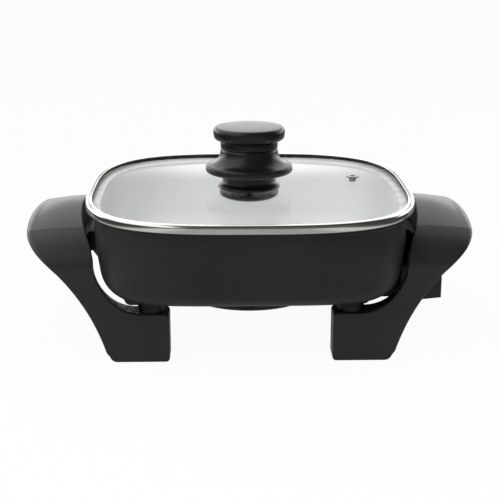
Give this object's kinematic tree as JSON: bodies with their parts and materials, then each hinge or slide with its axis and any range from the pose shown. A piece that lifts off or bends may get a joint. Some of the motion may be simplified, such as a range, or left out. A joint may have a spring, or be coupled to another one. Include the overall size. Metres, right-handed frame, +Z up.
{
  "type": "electric skillet",
  "caption": "Square electric skillet with a lift-off glass lid and knob, two handles that are also its legs, and a plug-in heat control with a dial.",
  "frame": {"origin": "on the surface the feet stand on, under the middle of the pan", "axes": "+X to the right of the front, towards the control; +Y to the back; +Z up"},
  "size_m": [0.2968, 0.216, 0.143],
  "materials": {
    "pan_coating": "satin non-stick coating, charcoal outside and white ceramic inside",
    "bracket_coating": "satin charcoal coating on cast aluminium",
    "handle_phenolic": "black moulded phenolic, satin with a fine grain",
    "knob_phenolic": "black moulded phenolic, smooth satin",
    "control_phenolic": "black moulded plastic, fine matt grain",
    "lid_glass": "clear tempered glass",
    "lid_steel": "bright rolled stainless steel",
    "plated_steel": "zinc-plated steel",
    "spacer_steel": "dark coated metal sleeve",
    "brass": "plain drawn brass",
    "ceramic": "unglazed white ceramic",
    "black_rubber": "matt black silicone rubber",
    "red_lens": "translucent red lens"
  },
  "bodies": {
    "base": {"pan": "pan_coating", "heating_element": "plated_steel", "socket_guard": "plated_steel", "handle_left": "handle_phenolic", "handle_right": "handle_phenolic", "handle_bracket_left": "bracket_coating", "handle_bracket_right": "bracket_coating", "terminal_pin_front": "brass", "element_seal_front": "ceramic", "socket_guard_screw_front": "plated_steel", "handle_screw_left_front": "plated_steel", "handle_screw_right_front": "plated_steel", "terminal_pin_rear": "brass", "element_seal_rear": "ceramic", "socket_guard_screw_rear": "plated_steel", "handle_screw_left_rear": "plated_steel", "handle_screw_right_rear": "plated_steel", "leg_spacer_front_left": "spacer_steel", "leg_screw_front_left": "plated_steel", "leg_spacer_front_right": "spacer_steel", "leg_screw_front_right": "plated_steel", "leg_spacer_rear_left": "spacer_steel", "leg_screw_rear_left": "plated_steel", "leg_spacer_rear_right": "spacer_steel", "leg_screw_rear_right": "plated_steel"},
    "lid": {"lid_glass": "lid_glass", "lid_band": "lid_steel", "lid_gasket": "black_rubber", "vent_eyelet": "lid_steel", "knob_guard": "knob_phenolic", "knob_ring": "knob_phenolic", "knob_cap": "knob_phenolic", "knob_under_cap": "knob_phenolic", "knob_screw": "plated_steel"},
    "control": {"control_housing_lower": "control_phenolic", "control_housing_upper": "control_phenolic", "contact_block": "control_phenolic", "contact_sleeve_front": "brass", "contact_sleeve_rear": "brass", "probe_rod": "plated_steel", "cord_gland": "black_rubber", "pilot_lens": "red_lens", "housing_screw_front": "plated_steel", "housing_screw_rear": "plated_steel"},
    "dial": {"dial": "control_phenolic", "dial_shaft": "plated_steel"}
  },
  "joints": [
    {"name": "lid_lift", "type": "slide", "parent": "base", "child": "lid", "axis": [0, 0, 1], "range_m": [0, 0.12]},
    {"name": "control_pull", "type": "slide", "parent": "base", "child": "control", "axis": [1, 0, 0], "range_m": [0, 0.13]},
    {"name": "dial_turn", "type": "hinge", "parent": "control", "child": "dial", "pos_m": [0.11475, 0, 0.055], "axis": [0, 0, -1], "range_deg": [0, 270]}
  ]
}
